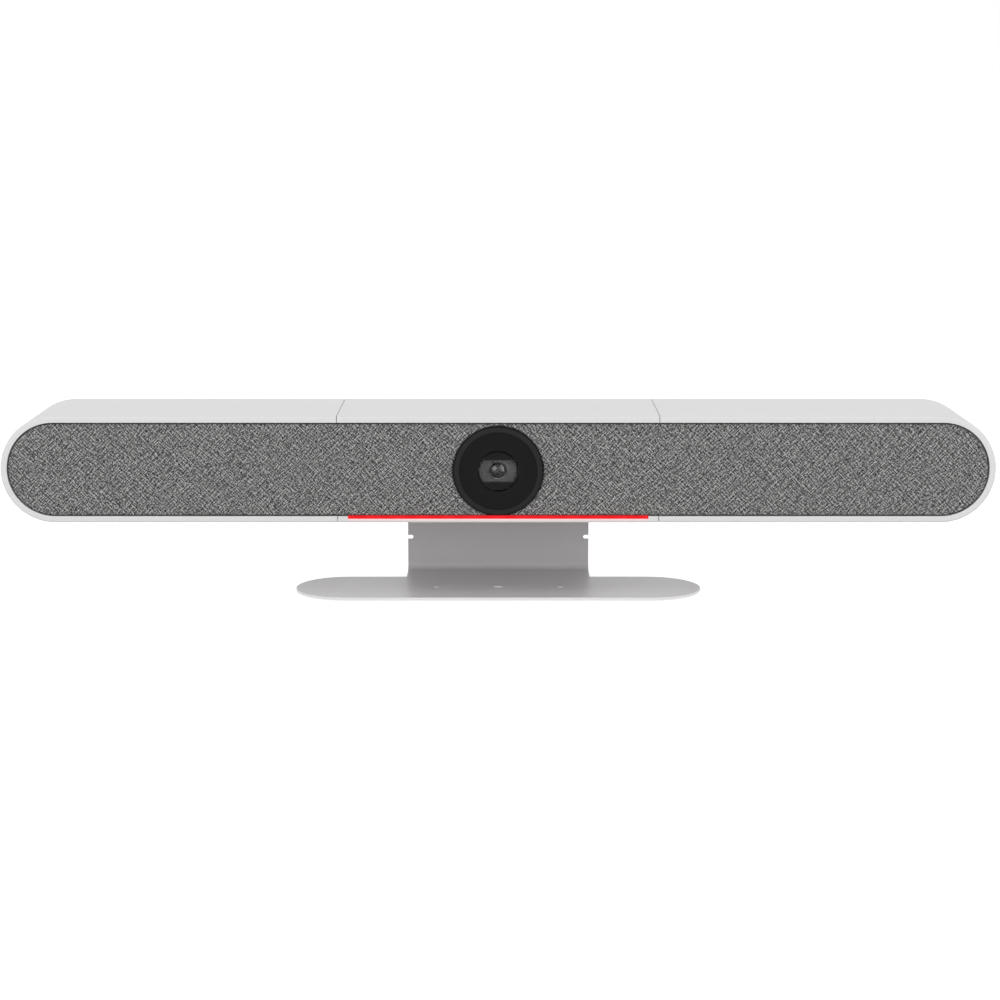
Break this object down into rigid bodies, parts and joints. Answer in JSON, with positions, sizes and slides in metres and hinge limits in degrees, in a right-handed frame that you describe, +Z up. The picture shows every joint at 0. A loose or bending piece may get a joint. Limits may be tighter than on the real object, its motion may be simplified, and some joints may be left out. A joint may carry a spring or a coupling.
{
  "type": "conference camera",
  "caption": "Video bar with a round lens window, cloth front, round ends, rear port bay and a bent sheet-metal table stand.",
  "frame": {"origin": "middle of the overall footprint, on the surface that the rubber feet stand on", "axes": "+X along the bar to the end with the port bay, -Y out of the lens, +Z up"},
  "size_m": [0.6, 0.0918, 0.113],
  "materials": {
    "shell": "satin white, fine moulded grain",
    "frame_plastic": "matte",
    "cloth": "heathered grey weave",
    "steel": "zinc plated",
    "ring_black": "satin black",
    "cover_glass": "smoked clear",
    "lens_glass": "polished",
    "black_plastic": "matte",
    "chip": "matte",
    "board": "solder mask, satin",
    "ribbon": "satin film",
    "light": "frosted, lit from behind",
    "light_chip": "clear domed",
    "rubber": "matte",
    "magnet": "blackened",
    "cone": "matte",
    "spider": "resin-treated cloth",
    "socket_metal": "nickel plated",
    "sink": "extruded",
    "button": "satin",
    "stand_paint": "silver-grey powder coat",
    "stand_screw": "dark zinc"
  },
  "bodies": {
    "housing": {"center_shell": "shell", "left_shell": "shell", "right_shell": "shell", "grille_frame": "frame_plastic", "frame_posts": "frame_plastic", "grille_cloth": "cloth", "housing_screws": "steel", "lens_ring": "ring_black", "lens_baffle": "ring_black", "cover_glass": "cover_glass", "front_element": "lens_glass", "lens_barrel": "black_plastic", "rear_element": "lens_glass", "lens_holder": "black_plastic", "image_sensor": "chip", "sensor_board": "board", "camera_plate": "steel", "camera_screws": "steel", "camera_ribbon": "ribbon", "light_bar": "light", "light_chips": "light_chip", "light_board": "board", "speaker_gaskets": "rubber", "speaker_basket_left": "black_plastic", "speaker_magnet_left": "magnet", "speaker_surround_left": "rubber", "speaker_spider_left": "spider", "speaker_box_left": "black_plastic", "speaker_basket_right": "black_plastic", "speaker_magnet_right": "magnet", "speaker_surround_right": "rubber", "speaker_spider_right": "spider", "speaker_box_right": "black_plastic", "microphone_boards": "board", "microphones": "socket_metal", "main_board": "board", "board_chips": "chip", "board_screws": "steel", "processor": "chip", "thermal_pad": "rubber", "heat_sink": "sink", "antennas": "board", "port_panel": "black_plastic", "port_board": "board", "port_ribbon": "ribbon", "power_jack": "black_plastic", "usb_c_port": "socket_metal", "usb_a_port": "socket_metal", "hdmi_port": "socket_metal", "network_jack": "socket_metal", "audio_jack": "black_plastic", "pairing_switch": "black_plastic", "stand_bracket": "stand_paint", "bracket_screws": "stand_screw", "rubber_feet": "rubber"},
    "pairing_button": {"pairing_button": "button"},
    "cone_left": {"speaker_cone_left": "cone"},
    "cone_right": {"speaker_cone_right": "cone"}
  },
  "joints": [
    {"name": "pairing_button_press", "type": "slide", "parent": "housing", "child": "pairing_button", "axis": [0, -1, 0], "range_m": [0, 0.0008], "stiffness_N_per_m": 1200, "springref_m": -0.0008},
    {"name": "cone_left_throw", "type": "slide", "parent": "housing", "child": "cone_left", "axis": [0, -1, 0], "range_m": [-0.0015, 0.0015], "stiffness_N_per_m": 1500, "deforming": ["speaker_surround_left", "speaker_spider_left"]},
    {"name": "cone_right_throw", "type": "slide", "parent": "housing", "child": "cone_right", "axis": [0, -1, 0], "range_m": [-0.0015, 0.0015], "stiffness_N_per_m": 1500, "deforming": ["speaker_surround_right", "speaker_spider_right"]}
  ]
}
